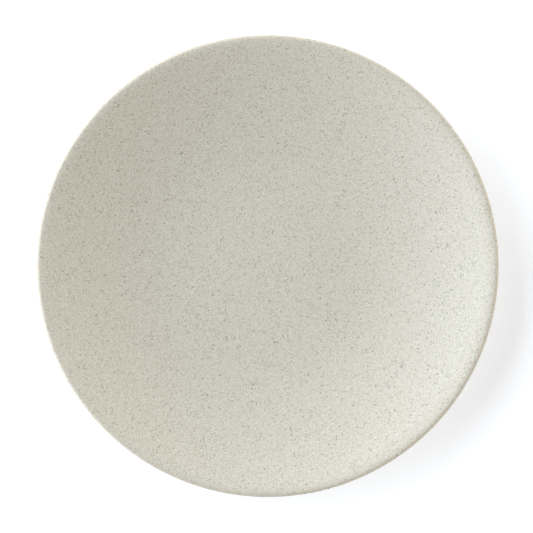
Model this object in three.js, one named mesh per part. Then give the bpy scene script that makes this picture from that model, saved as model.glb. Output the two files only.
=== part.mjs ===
// A small coupe plate in speckled stoneware: a clay body that stands on a bare foot ring, a coat of
// glaze over its face and underside, and a separate coat inside the foot ring.
// Millimetres and degrees, +Z up. The origin is the middle of the foot ring, on the ground.
import * as THREE from "three";

// Sizes over all, taken outside the glaze
const PLATE_DIAMETER = 180;
const PLATE_HEIGHT = 20.5;

// The well is flat in the middle, sweeps up a little and turns through a soft break into the wall
const WELL_FLAT_DIAMETER = 42;
const WELL_SWEEP_RADIUS = 330;
const WELL_SWEEP_ANGLE = 3;
const WELL_BREAK_RADIUS = 80;
const WELL_BREAK_ANGLE = 8;
const FLOOR_THICKNESS = 4.4;
const WALL_THICKNESS = 4.5;

// The lip rolls over in three arcs, each tighter than the last: shoulder, crest and outer edge
const LIP_SHOULDER_RADIUS = 22;
const LIP_SHOULDER_TURN = 8;
const LIP_CREST_RADIUS = 5;
const LIP_EDGE_RADIUS = 1.3;

// The foot ring narrows towards the ground. Its diameter and width are those of the bare clay there
const FOOT_DIAMETER = 106;
const FOOT_WIDTH = 5;
const FOOT_DRAFT = 8;
const FOOT_EDGE_RADIUS = 0.9;
const FOOT_FILLET_RADIUS = 2;
const BASE_RECESS = 3;
const BASE_FILLET_RADIUS = 0.9;

// The glaze is wiped off the foot, up to a bare strip of this height above its rounded edges
const GLAZE_THICKNESS = 0.4;
const OUTER_BARE_STRIP = 0.5;
const INNER_BARE_STRIP = 0.3;

// Facets round the plate, and along each stretch of its section
const FACETS_AROUND = 64;
const STEPS = {
  wellSweep: 2,
  wellBreak: 2,
  wing: 6,
  shoulder: 2,
  crest: 2,
  edge: 3,
  underLip: 3,
  underside: 4,
  footFillet: 3,
  footEdge: 2,
  baseFillet: 2,
  glazeEnd: 2,
};

const QUARTER = Math.PI / 2;
const point = (r, z) => new THREE.Vector2(r, z);
const direction = (angle) => point(Math.cos(angle), Math.sin(angle));
const squareTo = (slope) => direction(slope + QUARTER);
const moved = (start, along, length) => start.clone().addScaledVector(along, length);
const between = (start, end) => end.clone().sub(start);

// Points of a round stretch of the section, both ends included.
function arc(centre, radius, start, end, steps) {
  const clockwise = end < start;
  return new THREE.EllipseCurve(
    centre.x, centre.y, radius, radius, start, end, clockwise,
  ).getPoints(steps);
}

// Stretches that follow each other share an end point, which is kept once.
function joined(...stretches) {
  return stretches.flatMap((points, i) => (i ? points.slice(1) : points));
}

// Well: the sweep leaves the flat floor level, and the break goes on from the sweep in line with it.
const wellHeight = BASE_RECESS + FLOOR_THICKNESS;
const sweepAngle = THREE.MathUtils.degToRad(WELL_SWEEP_ANGLE);
const breakAngle = THREE.MathUtils.degToRad(WELL_BREAK_ANGLE);
const sweepCentre = point(WELL_FLAT_DIAMETER / 2, wellHeight + WELL_SWEEP_RADIUS);
const breakCentre = moved(
  sweepCentre, direction(sweepAngle - QUARTER), WELL_SWEEP_RADIUS - WELL_BREAK_RADIUS,
);
const breakEnd = moved(breakCentre, direction(breakAngle - QUARTER), WELL_BREAK_RADIUS);

// Lip: crest and edge meet at the top of the plate.
const plateRadius = PLATE_DIAMETER / 2;
const topRadius = plateRadius - LIP_EDGE_RADIUS;
const edgeCentre = point(topRadius, PLATE_HEIGHT - LIP_EDGE_RADIUS);
const crestCentre = point(topRadius, PLATE_HEIGHT - LIP_CREST_RADIUS);

// The shoulder goes on from the crest and turns through its angle to the slope of the wall below it.
const shoulderTurn = THREE.MathUtils.degToRad(LIP_SHOULDER_TURN);
const centreOfShoulder = (crestSlope) =>
  moved(crestCentre, squareTo(crestSlope), LIP_CREST_RADIUS - LIP_SHOULDER_RADIUS);
const onShoulder = (crestSlope, slope) =>
  moved(centreOfShoulder(crestSlope), squareTo(slope), LIP_SHOULDER_RADIUS);

// Wing: the one arc that leaves the break in line with it and runs on into the shoulder.
// An arc is its own mirror image, so the lip, mirrored to the slope of the break, is in line with its chord.
const mirroredEnd = onShoulder(breakAngle + shoulderTurn, breakAngle);
const rimAngle = 2 * between(breakEnd, mirroredEnd).angle() - breakAngle;
const crestAngle = rimAngle - shoulderTurn;
const shoulderCentre = centreOfShoulder(crestAngle);
const wingEnd = onShoulder(crestAngle, rimAngle);
const wingRadius = breakEnd.distanceTo(wingEnd) / (2 * Math.sin((rimAngle - breakAngle) / 2));
const wingCentre = moved(breakEnd, squareTo(breakAngle), wingRadius);

// Underside: one wall below the wing, on the same centre.
// The round under the lip touches it, and meets the edge of the lip where the plate is widest.
const undersideRadius = wingRadius + WALL_THICKNESS;
const wingToWidest = between(wingCentre, point(plateRadius, edgeCentre.y));
const underLipRadius =
  (undersideRadius ** 2 - wingToWidest.lengthSq()) / (2 * (undersideRadius - wingToWidest.x));
const underLipCentre = point(plateRadius - underLipRadius, edgeCentre.y);
const underLipAngle = between(wingCentre, underLipCentre).angle() - 4 * QUARTER;

// A drafted face of the foot ring: its place on the ground, its way out of the clay and its way up.
function footFace(groundRadius, outAngle, downTurn) {
  return {
    ground: point(groundRadius, 0),
    outAngle,
    downAngle: outAngle + downTurn,
    out: direction(outAngle),
    up: direction(outAngle - downTurn),
  };
}

const draft = THREE.MathUtils.degToRad(FOOT_DRAFT);
const outerFace = footFace(FOOT_DIAMETER / 2, -draft, -QUARTER);
const innerFace = footFace(FOOT_DIAMETER / 2 - FOOT_WIDTH, draft - 2 * QUARTER, QUARTER);

// The point on a face of the foot at a height above the ground.
const onFace = (face, height) => moved(face.ground, face.up, height / face.up.y);

// Heights on both faces: where the rounded edge ends, and where each coat starts to thin out.
const edgeHeight = FOOT_EDGE_RADIUS * (1 - Math.sin(draft));
const outerGlazeHeight = edgeHeight + OUTER_BARE_STRIP + GLAZE_THICKNESS;
const innerGlazeHeight = edgeHeight + INNER_BARE_STRIP + GLAZE_THICKNESS;

// Fillet between the outer face of the foot and the underside, taken on the glaze.
const filletStart = moved(outerFace.ground, outerFace.out, GLAZE_THICKNESS + FOOT_FILLET_RADIUS);
const wingToFillet = between(wingCentre, filletStart);
const filletReach = undersideRadius + FOOT_FILLET_RADIUS;
const filletDrop = wingToFillet.dot(outerFace.up);
const filletRise =
  -filletDrop - Math.sqrt(filletDrop ** 2 - wingToFillet.lengthSq() + filletReach ** 2);
const filletCentre = moved(filletStart, outerFace.up, filletRise);
const filletAngle = between(filletCentre, wingCentre).angle();

// Fillet between the inner face of the foot and the base, taken on the glaze.
const baseFilletStart = moved(innerFace.ground, innerFace.out, GLAZE_THICKNESS + BASE_FILLET_RADIUS);
const baseFilletRise = (BASE_RECESS - BASE_FILLET_RADIUS - baseFilletStart.y) / innerFace.up.y;
const baseFilletCentre = moved(baseFilletStart, innerFace.up, baseFilletRise);

// The glazed face at a depth below the surface of the glaze, from the end of the coat on the foot,
// over the lip and in to the middle of the well. Hollow stretches widen with depth and full ones shrink.
function dishFace(depth) {
  const coatEnd = onFace(outerFace, outerGlazeHeight);
  return [
    moved(coatEnd, outerFace.out, GLAZE_THICKNESS - depth),
    ...joined(
      arc(
        filletCentre, FOOT_FILLET_RADIUS + depth,
        2 * QUARTER - draft, filletAngle, STEPS.footFillet,
      ),
      arc(
        wingCentre, undersideRadius - depth,
        filletAngle - 2 * QUARTER, underLipAngle, STEPS.underside,
      ),
      arc(underLipCentre, underLipRadius - depth, underLipAngle, 0, STEPS.underLip),
      arc(edgeCentre, LIP_EDGE_RADIUS - depth, 0, QUARTER, STEPS.edge),
      arc(
        crestCentre, LIP_CREST_RADIUS - depth,
        QUARTER, QUARTER + crestAngle, STEPS.crest,
      ),
      arc(
        shoulderCentre, LIP_SHOULDER_RADIUS - depth,
        QUARTER + crestAngle, QUARTER + rimAngle, STEPS.shoulder,
      ),
      arc(
        wingCentre, wingRadius + depth,
        rimAngle - QUARTER, breakAngle - QUARTER, STEPS.wing,
      ),
      arc(
        breakCentre, WELL_BREAK_RADIUS + depth,
        breakAngle - QUARTER, sweepAngle - QUARTER, STEPS.wellBreak,
      ),
      arc(
        sweepCentre, WELL_SWEEP_RADIUS + depth,
        sweepAngle - QUARTER, -QUARTER, STEPS.wellSweep,
      ),
    ),
    point(0, wellHeight - depth),
  ];
}

// The glazed base at a depth below the surface of the glaze, from its middle out to the end of the coat.
function baseFace(depth) {
  const coatEnd = onFace(innerFace, innerGlazeHeight);
  return [
    point(0, BASE_RECESS + depth),
    ...arc(baseFilletCentre, BASE_FILLET_RADIUS + depth, QUARTER, draft, STEPS.baseFillet),
    moved(coatEnd, innerFace.out, GLAZE_THICKNESS - depth),
  ];
}

// The rounded end of a coat, from its full thickness down to its tip on the bare clay.
function glazeEnd(face, height) {
  const { outAngle, downAngle } = face;
  return arc(onFace(face, height), GLAZE_THICKNESS, outAngle, downAngle, STEPS.glazeEnd);
}

// The rounded edge of the foot below a face. The flat that the plate stands on lies between the two.
function footEdge(face, start, end) {
  const centre = moved(onFace(face, edgeHeight), face.out, -FOOT_EDGE_RADIUS);
  return arc(centre, FOOT_EDGE_RADIUS, start, end, STEPS.footEdge);
}

// Sections run counter-clockwise round each solid, from the axis back to the axis.
const faceGlazeEnd = glazeEnd(outerFace, outerGlazeHeight);
const baseGlazeEnd = glazeEnd(innerFace, innerGlazeHeight);

function bodySection() {
  return [
    ...baseFace(GLAZE_THICKNESS),
    baseGlazeEnd.at(-1),
    ...footEdge(innerFace, innerFace.outAngle, -QUARTER),
    ...footEdge(outerFace, -QUARTER, outerFace.outAngle),
    faceGlazeEnd.at(-1),
    ...dishFace(GLAZE_THICKNESS),
  ];
}

function faceGlazeSection() {
  return [
    ...dishFace(GLAZE_THICKNESS).reverse(),
    ...faceGlazeEnd.slice(1).reverse(),
    ...dishFace(0),
  ];
}

function baseGlazeSection() {
  return [
    ...baseFace(0),
    ...baseGlazeEnd.slice(1),
    ...baseFace(GLAZE_THICKNESS).reverse(),
  ];
}

// A section turned round the upright axis.
function turned(name, section, material) {
  const geometry = new THREE.LatheGeometry(section, FACETS_AROUND);
  geometry.rotateX(QUARTER);
  const mesh = new THREE.Mesh(geometry, material);
  mesh.name = name;
  return mesh;
}

const bareStoneware = new THREE.MeshStandardMaterial({
  color: 0xbba78c,
  roughness: 0.9,
  metalness: 0,
});

const speckledGlaze = new THREE.MeshStandardMaterial({
  color: 0xc8c6b9,
  roughness: 0.45,
  metalness: 0,
});

const plate = new THREE.Group();
plate.name = "tapas_plate";
plate.add(
  turned("stoneware_body", bodySection(), bareStoneware),
  turned("face_glaze", faceGlazeSection(), speckledGlaze),
  turned("base_glaze", baseGlazeSection(), speckledGlaze.clone()),
);

export default plate;
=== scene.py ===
# A small coupe plate in speckled stoneware, in metres: the fired clay with its bare foot, the satin glaze
# over its face and underside, and the glaze that lies inside the foot ring.
import math

import bmesh
import bpy
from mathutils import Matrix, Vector


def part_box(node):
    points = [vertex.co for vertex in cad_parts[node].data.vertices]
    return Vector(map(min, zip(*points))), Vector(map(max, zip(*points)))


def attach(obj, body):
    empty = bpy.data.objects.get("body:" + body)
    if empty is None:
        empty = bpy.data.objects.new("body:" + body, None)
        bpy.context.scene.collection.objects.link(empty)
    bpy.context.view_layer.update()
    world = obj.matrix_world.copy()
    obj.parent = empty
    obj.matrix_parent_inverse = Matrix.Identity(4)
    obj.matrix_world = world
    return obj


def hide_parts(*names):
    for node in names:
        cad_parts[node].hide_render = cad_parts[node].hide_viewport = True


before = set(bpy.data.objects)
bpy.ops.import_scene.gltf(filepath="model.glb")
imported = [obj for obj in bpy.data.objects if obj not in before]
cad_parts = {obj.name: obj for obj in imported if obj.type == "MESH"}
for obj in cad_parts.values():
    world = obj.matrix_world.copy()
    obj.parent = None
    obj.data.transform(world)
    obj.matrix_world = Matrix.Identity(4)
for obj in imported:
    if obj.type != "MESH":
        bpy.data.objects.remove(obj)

MM = 0.001
QUARTER = math.pi / 2
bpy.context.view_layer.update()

# Sizes over all, and where each coat of glaze ends, from the frame
clay_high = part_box("stoneware_body")[1]
coat_low, coat_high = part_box("face_glaze")
base_low, base_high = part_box("base_glaze")
PLATE_RADIUS = coat_high.x
PLATE_HEIGHT = coat_high.z
GLAZE_THICKNESS = coat_high.z - clay_high.z
BASE_RECESS = base_high.z - GLAZE_THICKNESS
FACE_COAT_TIP = coat_low.z
BASE_COAT_TIP = base_low.z

# The well is flat in the middle, sweeps up a little and turns through a soft break into the wall
WELL_FLAT_RADIUS = 21 * MM
WELL_SWEEP_RADIUS = 330 * MM
WELL_SWEEP_ANGLE = math.radians(3)
WELL_BREAK_RADIUS = 80 * MM
WELL_BREAK_ANGLE = math.radians(8)
FLOOR_THICKNESS = 4.4 * MM
WALL_THICKNESS = 4.5 * MM

# The lip rolls over in three arcs, each tighter than the last: shoulder, crest and outer edge
LIP_SHOULDER_RADIUS = 22 * MM
LIP_SHOULDER_TURN = math.radians(8)
LIP_CREST_RADIUS = 5 * MM
LIP_EDGE_RADIUS = 1.3 * MM

# The foot ring narrows towards the ground
FOOT_RADIUS = 53 * MM
FOOT_WIDTH = 5 * MM
FOOT_DRAFT = math.radians(8)
FOOT_EDGE_RADIUS = 0.9 * MM
FOOT_FILLET_RADIUS = 2 * MM
BASE_FILLET_RADIUS = 0.9 * MM

# Facets round the plate, the longest facet and largest turn along its section, and the angle of a sharp edge
FACETS_AROUND = 240
LONGEST_FACET = 2.4 * MM
LARGEST_TURN = math.radians(9)
SHARP_ANGLE = math.radians(35)
MERGE_DISTANCE = 0.001 * MM


def at(r, z):
    """A point of the section, which lies in the XZ plane."""
    return Vector((r, 0, z))


def along(angle):
    return at(math.cos(angle), math.sin(angle))


def square_to(slope):
    return along(slope + QUARTER)


def angle_of(step):
    return math.atan2(step.z, step.x)


# The well, from its flat floor to the end of the break
well_height = BASE_RECESS + FLOOR_THICKNESS
sweep_centre = at(WELL_FLAT_RADIUS, well_height + WELL_SWEEP_RADIUS)
break_centre = sweep_centre + along(WELL_SWEEP_ANGLE - QUARTER) * (WELL_SWEEP_RADIUS - WELL_BREAK_RADIUS)
break_end = break_centre + along(WELL_BREAK_ANGLE - QUARTER) * WELL_BREAK_RADIUS

# The lip, whose crest and edge meet at the top of the plate
top_radius = PLATE_RADIUS - LIP_EDGE_RADIUS
edge_centre = at(top_radius, PLATE_HEIGHT - LIP_EDGE_RADIUS)
crest_centre = at(top_radius, PLATE_HEIGHT - LIP_CREST_RADIUS)


def centre_of_shoulder(crest_slope):
    return crest_centre + square_to(crest_slope) * (LIP_CREST_RADIUS - LIP_SHOULDER_RADIUS)


def on_shoulder(crest_slope, slope):
    return centre_of_shoulder(crest_slope) + square_to(slope) * LIP_SHOULDER_RADIUS


# The wing is the one arc that leaves the break in line with it and runs on into the shoulder.
# An arc is its own mirror image, so the lip, mirrored to the slope of the break, is in line with its chord.
mirrored_end = on_shoulder(WELL_BREAK_ANGLE + LIP_SHOULDER_TURN, WELL_BREAK_ANGLE)
rim_angle = 2 * angle_of(mirrored_end - break_end) - WELL_BREAK_ANGLE
crest_angle = rim_angle - LIP_SHOULDER_TURN
shoulder_centre = centre_of_shoulder(crest_angle)
wing_chord = (on_shoulder(crest_angle, rim_angle) - break_end).length
wing_radius = wing_chord / (2 * math.sin((rim_angle - WELL_BREAK_ANGLE) / 2))
wing_centre = break_end + square_to(WELL_BREAK_ANGLE) * wing_radius

# The underside lies one wall below the wing, and a round under the lip joins it to the edge
underside_radius = wing_radius + WALL_THICKNESS
to_widest = at(PLATE_RADIUS, edge_centre.z) - wing_centre
under_lip_radius = (underside_radius ** 2 - to_widest.length_squared) / (2 * (underside_radius - to_widest.x))
under_lip_centre = at(PLATE_RADIUS - under_lip_radius, edge_centre.z)
under_lip_angle = angle_of(under_lip_centre - wing_centre)

# The drafted faces of the foot ring: the way out of the clay and the way up
outer_out = along(-FOOT_DRAFT)
outer_up = along(QUARTER - FOOT_DRAFT)
inner_out = along(math.pi + FOOT_DRAFT)
inner_up = along(QUARTER + FOOT_DRAFT)


def on_outer_face(height):
    return at(FOOT_RADIUS, 0) + outer_up * (height / outer_up.z)


def on_inner_face(height):
    return at(FOOT_RADIUS - FOOT_WIDTH, 0) + inner_up * (height / inner_up.z)


foot_edge_height = FOOT_EDGE_RADIUS * (1 - math.sin(FOOT_DRAFT))
outer_edge_centre = on_outer_face(foot_edge_height) - outer_out * FOOT_EDGE_RADIUS
inner_edge_centre = on_inner_face(foot_edge_height) - inner_out * FOOT_EDGE_RADIUS
face_coat_end = on_outer_face(FACE_COAT_TIP + GLAZE_THICKNESS)
base_coat_end = on_inner_face(BASE_COAT_TIP + GLAZE_THICKNESS)

# The fillets above the foot, which touch the underside and the base on the surface of the glaze
fillet_start = at(FOOT_RADIUS, 0) + outer_out * (GLAZE_THICKNESS + FOOT_FILLET_RADIUS)
to_fillet = fillet_start - wing_centre
fillet_drop = to_fillet.dot(outer_up)
fillet_reach = underside_radius + FOOT_FILLET_RADIUS
fillet_root = math.sqrt(fillet_drop ** 2 - to_fillet.length_squared + fillet_reach ** 2)
fillet_centre = fillet_start - outer_up * (fillet_drop + fillet_root)
fillet_angle = angle_of(wing_centre - fillet_centre)
base_fillet_start = on_inner_face(0) + inner_out * (GLAZE_THICKNESS + BASE_FILLET_RADIUS)
base_fillet_rise = (BASE_RECESS - BASE_FILLET_RADIUS - base_fillet_start.z) / inner_up.z
base_fillet_centre = base_fillet_start + inner_up * base_fillet_rise


def straight(bm, end, to):
    """Draws a section on from its end to a point. Returns the new end."""
    made = bmesh.ops.extrude_vert_indiv(bm, verts=[end])["verts"][0]
    made.co = to
    return made


def arc(bm, end, centre, turn):
    """Carries a section on round a centre, counter-clockwise for a positive turn. Returns the new end."""
    length = abs(turn) * (end.co - centre).length
    steps = math.ceil(max(length / LONGEST_FACET, abs(turn) / LARGEST_TURN))
    made = bmesh.ops.spin(bm, geom=[end], cent=centre, axis=(0, -1, 0), angle=turn, steps=steps)
    return made["geom_last"][0]


def dish_line(bm, depth):
    """The glazed face at a depth below its surface, from the middle of the well over the lip to the foot."""
    middle = bm.verts.new(at(0, well_height - depth))
    end = straight(bm, middle, at(WELL_FLAT_RADIUS, well_height - depth))
    end = arc(bm, end, sweep_centre, WELL_SWEEP_ANGLE)
    end = arc(bm, end, break_centre, WELL_BREAK_ANGLE - WELL_SWEEP_ANGLE)
    end = arc(bm, end, wing_centre, rim_angle - WELL_BREAK_ANGLE)
    end = arc(bm, end, shoulder_centre, -LIP_SHOULDER_TURN)
    end = arc(bm, end, crest_centre, -crest_angle)
    end = arc(bm, end, edge_centre, -QUARTER)
    end = arc(bm, end, under_lip_centre, under_lip_angle)
    end = arc(bm, end, wing_centre, fillet_angle - math.pi - under_lip_angle)
    end = arc(bm, end, fillet_centre, math.pi - FOOT_DRAFT - fillet_angle)
    return straight(bm, end, face_coat_end + outer_out * (GLAZE_THICKNESS - depth))


def base_line(bm, depth):
    """The glazed base at a depth below its surface, from its middle to the inner face of the foot."""
    middle = bm.verts.new(at(0, BASE_RECESS + depth))
    end = straight(bm, middle, at(base_fillet_centre.x, BASE_RECESS + depth))
    end = arc(bm, end, base_fillet_centre, FOOT_DRAFT - QUARTER)
    return straight(bm, end, base_coat_end + inner_out * (GLAZE_THICKNESS - depth))


def turned(name, bm, finish, node):
    """Turns a section round the plate's axis into a piece, with its finish and its place in the part."""
    bmesh.ops.spin(
        bm, geom=bm.verts[:] + bm.edges[:], cent=(0, 0, 0), axis=(0, 0, 1),
        angle=2 * math.pi, steps=FACETS_AROUND, use_merge=True,
    )
    bmesh.ops.remove_doubles(bm, verts=bm.verts[:], dist=MERGE_DISTANCE)
    bmesh.ops.recalc_face_normals(bm, faces=bm.faces[:])
    for face in bm.faces:
        face.smooth = True
    mesh = bpy.data.meshes.new(name)
    bm.to_mesh(mesh)
    bm.free()
    mesh.set_sharp_from_angle(angle=SHARP_ANGLE)
    mesh.materials.append(finish)
    piece = bpy.data.objects.new(name, mesh)
    bpy.context.scene.collection.objects.link(piece)
    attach(piece, "root")
    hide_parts(node)


def clay_plate(finish):
    """The fired clay in one piece, bare on its foot."""
    bm = bmesh.new()
    end = dish_line(bm, GLAZE_THICKNESS)
    end = straight(bm, end, on_outer_face(foot_edge_height))
    end = arc(bm, end, outer_edge_centre, FOOT_DRAFT - QUARTER)
    end = straight(bm, end, at(inner_edge_centre.x, 0))
    end = arc(bm, end, inner_edge_centre, FOOT_DRAFT - QUARTER)
    straight(bm, end, base_coat_end)
    base_line(bm, GLAZE_THICKNESS)
    turned("clay_plate", bm, finish, "stoneware_body")


def face_coat(finish):
    """The glaze over the face and underside, with a rounded end where the foot is wiped bare."""
    bm = bmesh.new()
    arc(bm, dish_line(bm, 0), face_coat_end, -QUARTER)
    straight(bm, dish_line(bm, GLAZE_THICKNESS), on_outer_face(FACE_COAT_TIP))
    turned("face_coat", bm, finish, "face_glaze")


def base_coat(finish):
    """The glaze inside the foot ring."""
    bm = bmesh.new()
    arc(bm, base_line(bm, 0), base_coat_end, QUARTER)
    straight(bm, base_line(bm, GLAZE_THICKNESS), on_inner_face(BASE_COAT_TIP))
    turned("base_coat", bm, finish, "base_glaze")


def linear(colour):
    """An sRGB hex colour as the linear RGBA that Blender takes."""
    parts = [int(colour[i:i + 2], 16) / 255 for i in (1, 3, 5)]
    return [p / 12.92 if p <= 0.04045 else ((p + 0.055) / 1.055) ** 2.4 for p in parts] + [1]


def add(tree, kind, inputs, **settings):
    """Adds a node with its settings. An input is a value, or an output of another node."""
    made = tree.nodes.new("ShaderNode" + kind)
    for name, value in settings.items():
        setattr(made, name, value)
    for socket, value in inputs.items():
        if isinstance(value, bpy.types.NodeSocket):
            tree.links.new(value, made.inputs[socket])
        else:
            made.inputs[socket].default_value = value
    return made


def blank_material(name):
    made = bpy.data.materials.new(name)
    made.use_nodes = True
    made.node_tree.nodes.clear()
    return made


# The sockets of a Mix node for colours: its share, its two colours and the colour between them
SHARE = 0
COLOUR_A = 6
COLOUR_B = 7
MIXED = 2

# Iron grains in the clay, fine and coarse: how far apart, the radius of the largest and how dark it gets
FINE_GRAINS = {"spacing": 0.54 * MM, "reach": 0.39 * MM, "darkness": 0.82}
COARSE_GRAINS = {"spacing": 1.25 * MM, "reach": 0.64 * MM, "darkness": 0.48}
GRAIN_SHARPNESS = 3

# Drifts of grains: how wide they are, and how strongly the grains show from the sparsest to the densest
DRIFT_WIDTH = 4 * MM
DRIFT_RANGE = {"From Min": 0.3, "From Max": 0.7, "To Min": 0.5, "To Max": 1.25}

# The glaze: milky clouds, a slight ripple, and a thinner, warmer run over the lip, measured from the plate's
# edge. Iron grains are rougher than the glaze.
CLOUD_WIDTH = 0.55 * MM
RIPPLE_WIDTH = 2.5 * MM
RIPPLE_HEIGHT = 0.03 * MM
THIN_START = 1.8 * MM
THIN_END = 0.4 * MM
THIN_WARMTH = 0.15
GLAZE_ROUGHNESS = 0.45
IRON_ROUGHNESS = 0.25

# The bare clay: its sand, and how brown it is where the glaze ends
SAND_WIDTH = 0.5 * MM
SAND_HEIGHT = 0.1 * MM
CLAY_ROUGHNESS = 0.78
SAND_ROUGHNESS = 0.2
TOAST = 0.6

# Tilts the patterns, so that the flat well doesn't lie along their layers
PATTERN_TILT = (math.radians(25), math.radians(35), 0)


def grains(tree, where, spacing, reach, darkness):
    """How dark the grains make each spot: one grain in each cell, of its own size and strength."""
    cells = add(tree, "TexVoronoi", {"Vector": where, "Scale": 1 / spacing})
    trait = add(tree, "SeparateColor", {"Color": cells.outputs["Color"]})
    radius = add(tree, "Math", {0: trait.outputs["Red"], 1: reach / spacing}, operation="MULTIPLY")
    inside = add(tree, "Math", {0: radius.outputs[0], 1: cells.outputs["Distance"]}, operation="SUBTRACT")
    edge = GRAIN_SHARPNESS * spacing / reach
    body = add(tree, "Math", {0: inside.outputs[0], 1: edge}, operation="MULTIPLY", use_clamp=True)
    melted = add(tree, "Math", {0: trait.outputs["Green"], 1: trait.outputs["Blue"]}, operation="MULTIPLY")
    strength = add(tree, "Math", {0: melted.outputs[0], 1: darkness}, operation="MULTIPLY")
    return add(tree, "Math", {0: body.outputs[0], 1: strength.outputs[0]}, operation="MULTIPLY").outputs[0]


def iron_grains(tree, where):
    """The grains that lie in the clay and melt through the glaze over it. They gather in loose drifts."""
    fine = grains(tree, where, **FINE_GRAINS)
    coarse = grains(tree, where, **COARSE_GRAINS)
    grain = add(tree, "Math", {0: fine, 1: coarse}, operation="MAXIMUM")
    drift = add(tree, "TexNoise", {"Vector": where, "Scale": 1 / DRIFT_WIDTH, "Detail": 1})
    gathered = add(tree, "MapRange", {"Value": drift.outputs["Fac"], **DRIFT_RANGE})
    shown = add(
        tree, "Math", {0: grain.outputs[0], 1: gathered.outputs[0]}, operation="MULTIPLY", use_clamp=True,
    )
    return shown.outputs[0]


def satin_glaze():
    """Satin stoneware glaze: a pale, faintly clouded warm grey with a soft sheen and a slight ripple.
    Dark iron grains melt through it, and the buff clay warms it where it runs thin over the lip."""
    made = blank_material("satin_speckled_glaze")
    tree = made.node_tree
    place = add(tree, "TexCoord", {}).outputs["Object"]
    where = add(tree, "Mapping", {"Vector": place, "Rotation": PATTERN_TILT}).outputs[0]
    iron = iron_grains(tree, where)
    cloud = add(tree, "TexNoise", {"Vector": where, "Scale": 1 / CLOUD_WIDTH, "Detail": 0})
    milky = add(
        tree, "Mix",
        {SHARE: cloud.outputs["Fac"], COLOUR_A: linear("#B4B09E"), COLOUR_B: linear("#DBD9D1")},
        data_type="RGBA",
    )
    level = add(tree, "VectorMath", {0: place, 1: (1, 1, 0)}, operation="MULTIPLY")
    from_axis = add(tree, "VectorMath", {0: level.outputs[0]}, operation="LENGTH")
    thin = add(
        tree, "MapRange",
        {
            "Value": from_axis.outputs["Value"], "From Min": PLATE_RADIUS - THIN_START,
            "From Max": PLATE_RADIUS - THIN_END, "To Max": THIN_WARMTH,
        },
    )
    warmed = add(
        tree, "Mix",
        {SHARE: thin.outputs[0], COLOUR_A: milky.outputs[MIXED], COLOUR_B: linear("#B0946C")},
        data_type="RGBA",
    )
    speckled = add(
        tree, "Mix",
        {SHARE: iron, COLOUR_A: warmed.outputs[MIXED], COLOUR_B: linear("#4A482C")},
        data_type="RGBA",
    )
    dulled = add(tree, "Math", {0: iron, 1: IRON_ROUGHNESS, 2: GLAZE_ROUGHNESS}, operation="MULTIPLY_ADD")
    ripple = add(tree, "TexNoise", {"Vector": where, "Scale": 1 / RIPPLE_WIDTH, "Detail": 1})
    relief = add(tree, "Bump", {"Height": ripple.outputs["Fac"], "Strength": 1, "Distance": RIPPLE_HEIGHT})
    shader = add(
        tree, "BsdfPrincipled",
        {
            "Base Color": speckled.outputs[MIXED], "Roughness": dulled.outputs[0],
            "IOR": 1.5, "Normal": relief.outputs[0],
        },
    )
    add(tree, "OutputMaterial", {"Surface": shader.outputs[0]})
    return made


def bare_stoneware():
    """Unglazed fired stoneware: a dry, sandy buff clay with dark iron grains, paler on the flat that it
    stands on and toasted brown towards the glaze."""
    made = blank_material("bare_buff_stoneware")
    tree = made.node_tree
    place = add(tree, "TexCoord", {}).outputs["Object"]
    where = add(tree, "Mapping", {"Vector": place, "Rotation": PATTERN_TILT}).outputs[0]
    sand = add(tree, "TexNoise", {"Vector": where, "Scale": 1 / SAND_WIDTH, "Detail": 3}).outputs["Fac"]
    buff = add(
        tree, "Mix",
        {SHARE: sand, COLOUR_A: linear("#A5906F"), COLOUR_B: linear("#CBB89D")},
        data_type="RGBA",
    )
    height = add(tree, "SeparateXYZ", {"Vector": place}).outputs["Z"]
    toast = add(tree, "MapRange", {"Value": height, "From Max": FACE_COAT_TIP, "To Max": TOAST})
    toasted = add(
        tree, "Mix",
        {SHARE: toast.outputs[0], COLOUR_A: buff.outputs[MIXED], COLOUR_B: linear("#9C6A3E")},
        data_type="RGBA",
    )
    speckled = add(
        tree, "Mix",
        {SHARE: iron_grains(tree, where), COLOUR_A: toasted.outputs[MIXED], COLOUR_B: linear("#33271C")},
        data_type="RGBA",
    )
    dry = add(tree, "Math", {0: sand, 1: SAND_ROUGHNESS, 2: CLAY_ROUGHNESS}, operation="MULTIPLY_ADD")
    relief = add(tree, "Bump", {"Height": sand, "Strength": 0.6, "Distance": SAND_HEIGHT})
    shader = add(
        tree, "BsdfPrincipled",
        {
            "Base Color": speckled.outputs[MIXED], "Roughness": dry.outputs[0],
            "IOR": 1.5, "Normal": relief.outputs[0],
        },
    )
    add(tree, "OutputMaterial", {"Surface": shader.outputs[0]})
    return made


# Studio: a light table, two large soft lights and pale walls that are brightest near the horizon
PIXELS_ACROSS = 533
PLATE_PIXELS = 462.1
LENS = 170
SENSOR = 36
PLATE_SHIFT_PIXELS = (1.2, 0.4)
TABLE_SIZE = 60
TABLE_GLOW = 0.45
WALL_STRENGTH = 1.45
WALL_FALL_OFF = 1.4


def camera():
    """Looks straight down, so far off that the plate fills as much of the picture as in the photograph."""
    pixel = 2 * PLATE_RADIUS / PLATE_PIXELS
    distance = PIXELS_ACROSS * pixel * LENS / SENSOR
    data = bpy.data.cameras.new("camera")
    data.lens = LENS
    data.sensor_width = SENSOR
    made = bpy.data.objects.new("camera", data)
    made.location = (-PLATE_SHIFT_PIXELS[0] * pixel, -PLATE_SHIFT_PIXELS[1] * pixel, edge_centre.z + distance)
    bpy.context.scene.collection.objects.link(made)
    bpy.context.scene.camera = made


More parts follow.
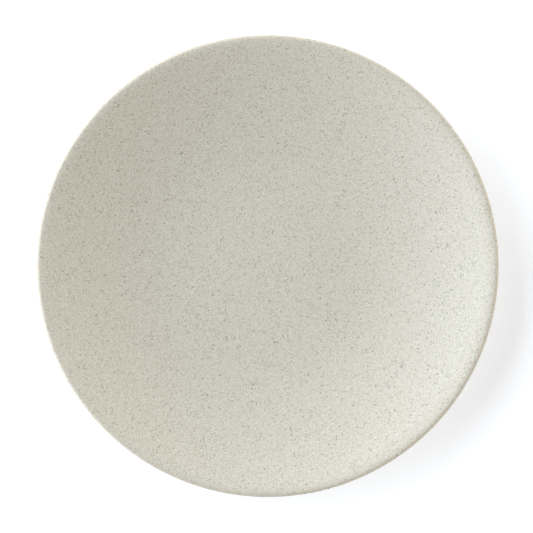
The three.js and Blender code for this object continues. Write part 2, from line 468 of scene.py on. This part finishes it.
def light_table():
    """Opal acrylic that glows a little, so that the shadow on it stays faint."""
    made = blank_material("opal_acrylic")
    tree = made.node_tree
    shader = add(
        tree, "BsdfPrincipled",
        {
            "Base Color": linear("#E1E1E1"), "Roughness": 0.8, "IOR": 1.49,
            "Emission Color": linear("#F1F6FF"), "Emission Strength": TABLE_GLOW,
        },
    )
    add(tree, "OutputMaterial", {"Surface": shader.outputs[0]})
    bm = bmesh.new()
    bmesh.ops.create_grid(bm, x_segments=1, y_segments=1, size=TABLE_SIZE / 2)
    mesh = bpy.data.meshes.new("light_table")
    bm.to_mesh(mesh)
    bm.free()
    mesh.materials.append(made)
    table = bpy.data.objects.new("light_table", mesh)
    bpy.context.scene.collection.objects.link(table)


def softbox(name, azimuth, elevation, spread, strength, colour):
    """A wide, far light from a direction in degrees, as even over the whole table as a lit wall."""
    data = bpy.data.lights.new(name, "SUN")
    data.angle = math.radians(spread)
    data.energy = strength
    data.color = linear(colour)[:3]
    made = bpy.data.objects.new(name, data)
    made.rotation_euler = (math.radians(90 - elevation), 0, math.radians(azimuth + 90))
    bpy.context.scene.collection.objects.link(made)


def walls():
    """The pale walls of the room, which fall off to a dark ceiling."""
    world = bpy.data.worlds.new("pale_walls")
    bpy.context.scene.world = world
    world.use_nodes = True
    tree = world.node_tree
    tree.nodes.clear()
    way = add(tree, "TexCoord", {}).outputs["Generated"]
    height = add(tree, "SeparateXYZ", {"Vector": way}).outputs["Z"]
    below = add(tree, "Math", {0: 1.0, 1: height}, operation="SUBTRACT")
    share = add(tree, "Math", {0: below.outputs[0], 1: WALL_FALL_OFF}, operation="POWER")
    colour = add(
        tree, "Mix",
        {SHARE: share.outputs[0], COLOUR_A: linear("#000000"), COLOUR_B: linear("#FFF6EE")},
        data_type="RGBA",
    )
    glow = add(tree, "Background", {"Color": colour.outputs[MIXED], "Strength": WALL_STRENGTH})
    add(tree, "OutputWorld", {"Surface": glow.outputs[0]})


bpy.context.scene.view_settings.view_transform = "Standard"
camera()
light_table()
softbox("cool_key", azimuth=163, elevation=5, spread=110, strength=7, colour="#EFF7FF")
softbox("warm_fill", azimuth=19, elevation=15, spread=76, strength=1.93, colour="#FFFCF3")
walls()
glaze = satin_glaze()
clay_plate(bare_stoneware())
face_coat(glaze)
base_coat(glaze)
